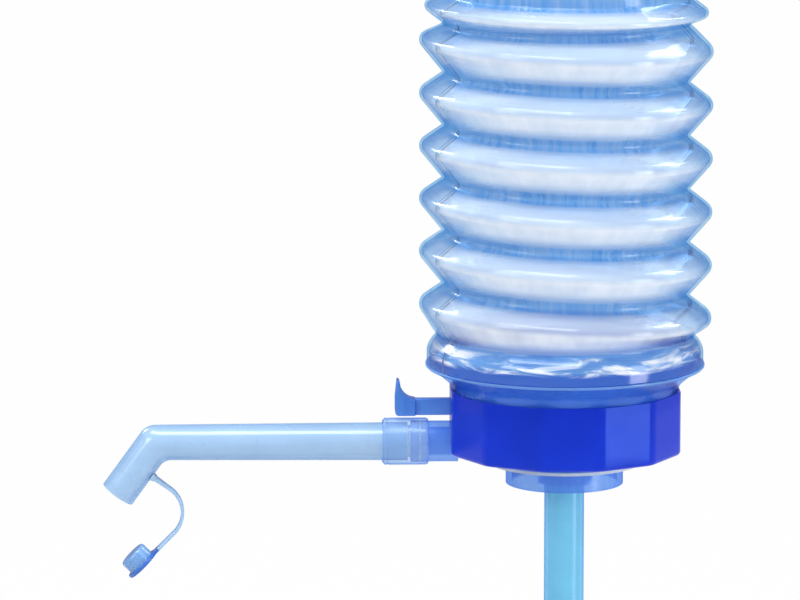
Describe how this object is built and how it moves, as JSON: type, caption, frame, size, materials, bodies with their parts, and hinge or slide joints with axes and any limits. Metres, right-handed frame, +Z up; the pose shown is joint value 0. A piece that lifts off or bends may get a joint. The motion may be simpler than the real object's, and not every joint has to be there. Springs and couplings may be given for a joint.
{
  "type": "water jug hand pump",
  "caption": "Hand pump for a large water jug: a press bellows on a faceted collar, a vent tab, a turning spout with a tethered cap, and a dip tube.",
  "frame": {"origin": "on the pump's axis, in the plane of the jug's rim, which is the underside of the rim gasket", "axes": "+Z up through the bellows, the spout runs along -X, and the XZ plane is the plane of symmetry"},
  "size_m": [0.2375, 0.114, 0.6458],
  "materials": {
    "clear_blue_plastic": "clear moulded, glossy",
    "deep_blue_plastic": "deep tinted, glossy",
    "funnel_plastic": "clear moulded, glossy",
    "bellows_plastic": "soft, clear, glossy",
    "gasket_rubber": "milky silicone",
    "valve_rubber": "soft, matt",
    "clip_plastic": "plain",
    "vent_plastic": "clear moulded, glossy",
    "spring_steel": "drawn wire",
    "sleeve_plastic": "clear moulded, glossy",
    "frosted_plastic": "frosted, satin",
    "cap_plastic": "clear moulded, glossy",
    "tube_plastic": "clear, satin"
  },
  "bodies": {
    "base": {"valve_body": "clear_blue_plastic", "collar": "deep_blue_plastic", "funnel_deck": "funnel_plastic", "rim_gasket": "gasket_rubber", "deck_gasket": "gasket_rubber", "bellows_skirt": "bellows_plastic", "bellows_folds": "bellows_plastic", "vent_spring": "spring_steel", "outlet_o_ring": "gasket_rubber", "riser_seal": "gasket_rubber", "dip_tube_upper": "tube_plastic", "dip_tube_middle": "tube_plastic", "dip_tube_lower": "tube_plastic"},
    "bellows_top": {"bellows_dome": "bellows_plastic"},
    "intake": {"intake_valve": "valve_rubber", "intake_clip": "clip_plastic"},
    "discharge": {"discharge_valve": "valve_rubber", "discharge_clip": "clip_plastic"},
    "vent": {"vent_slider": "vent_plastic", "vent_plug": "valve_rubber"},
    "spout": {"spout_coupling": "sleeve_plastic", "spout_tube": "frosted_plastic", "spout_strap": "frosted_plastic"},
    "cap": {"spout_cap": "cap_plastic"}
  },
  "joints": [
    {"name": "bellows_press", "type": "slide", "parent": "base", "child": "bellows_top", "axis": [0, 0, -1], "range_m": [0, 0.085], "stiffness_N_per_m": 400, "springref_m": -0.006, "deforming": ["bellows_folds"]},
    {"name": "intake_lift", "type": "slide", "parent": "base", "child": "intake", "axis": [0, 0, 1], "range_m": [0, 0.0015], "stiffness_N_per_m": 10, "springref_m": -0.001},
    {"name": "discharge_lift", "type": "slide", "parent": "base", "child": "discharge", "axis": [0, 0, -1], "range_m": [0, 0.0015], "stiffness_N_per_m": 20, "springref_m": -0.002},
    {"name": "vent_pull", "type": "slide", "parent": "base", "child": "vent", "axis": [-1, 0, 0], "range_m": [0, 0.004], "stiffness_N_per_m": 150, "springref_m": -0.004, "deforming": ["vent_spring"]},
    {"name": "spout_swivel", "type": "hinge", "parent": "base", "child": "spout", "pos_m": [-0.056, 0, 0.0085], "axis": [1, 0, 0], "continuous": true},
    {"name": "cap_close", "type": "hinge", "parent": "spout", "child": "cap", "pos_m": [-0.15432, 0, -0.02041], "axis": [0, 1, 0], "range_deg": [0, 60], "stiffness_Nm_per_rad": 0.003, "springref_deg": -5.73, "deforming": ["spout_strap"]}
  ]
}
